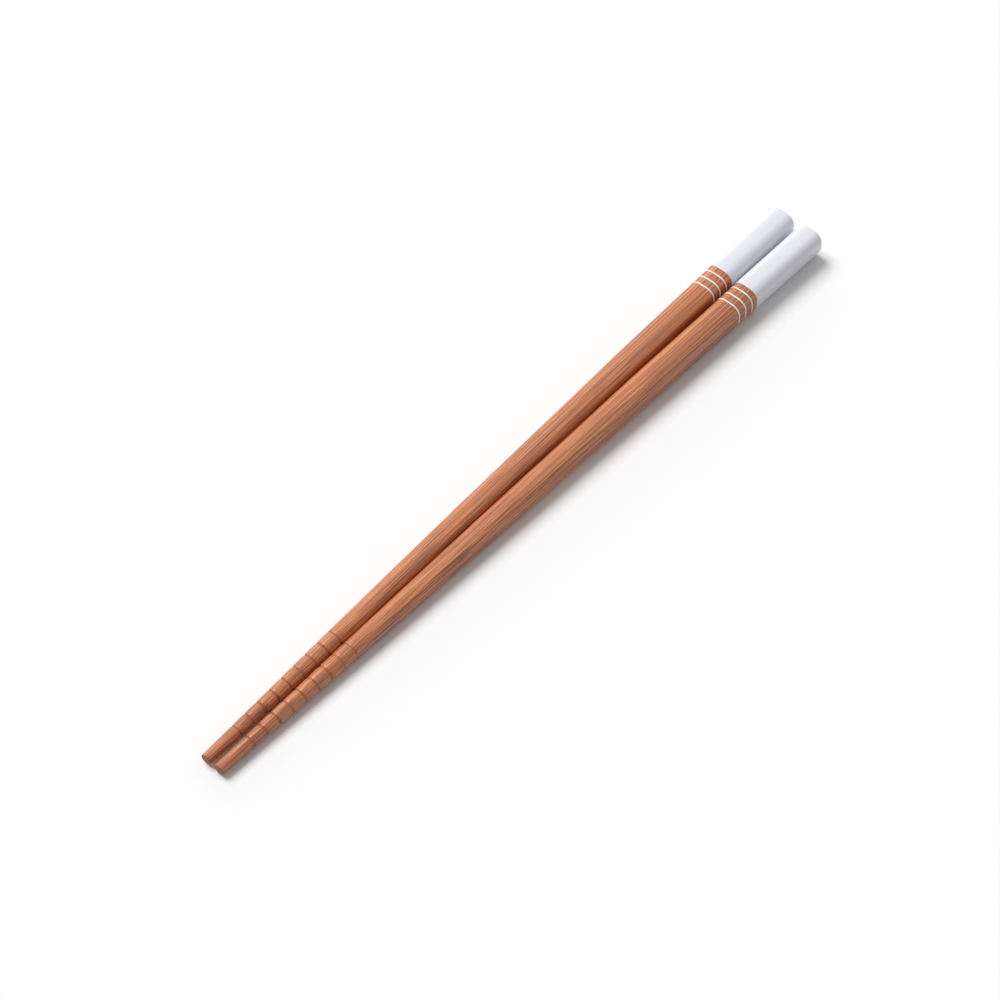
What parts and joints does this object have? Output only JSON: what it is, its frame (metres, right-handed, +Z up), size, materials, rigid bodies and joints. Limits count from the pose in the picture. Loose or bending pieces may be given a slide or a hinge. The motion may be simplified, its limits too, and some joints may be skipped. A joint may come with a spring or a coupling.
{
  "type": "chopsticks",
  "caption": "Bamboo chopsticks with rounded square handles, turned grip grooves near the tips and white lacquered ends, lying side by side.",
  "frame": {"origin": "on the table, under the middle of the pair's bounding box", "axes": "+X from the tips towards the butts, +Y towards the left stick, +Z up"},
  "size_m": [0.24, 0.0188, 0.0091],
  "materials": {
    "bamboo": "satin, caramel brown with fine lengthwise fibres",
    "white_lacquer": "gloss",
    "ring_paint": "satin"
  },
  "bodies": {
    "root": {"left_stick": "bamboo", "left_lacquer_end": "white_lacquer", "left_ring_1": "ring_paint", "left_ring_2": "ring_paint", "left_ring_3": "ring_paint", "right_stick": "bamboo", "right_lacquer_end": "white_lacquer", "right_ring_1": "ring_paint", "right_ring_2": "ring_paint", "right_ring_3": "ring_paint"}
  },
  "joints": []
}
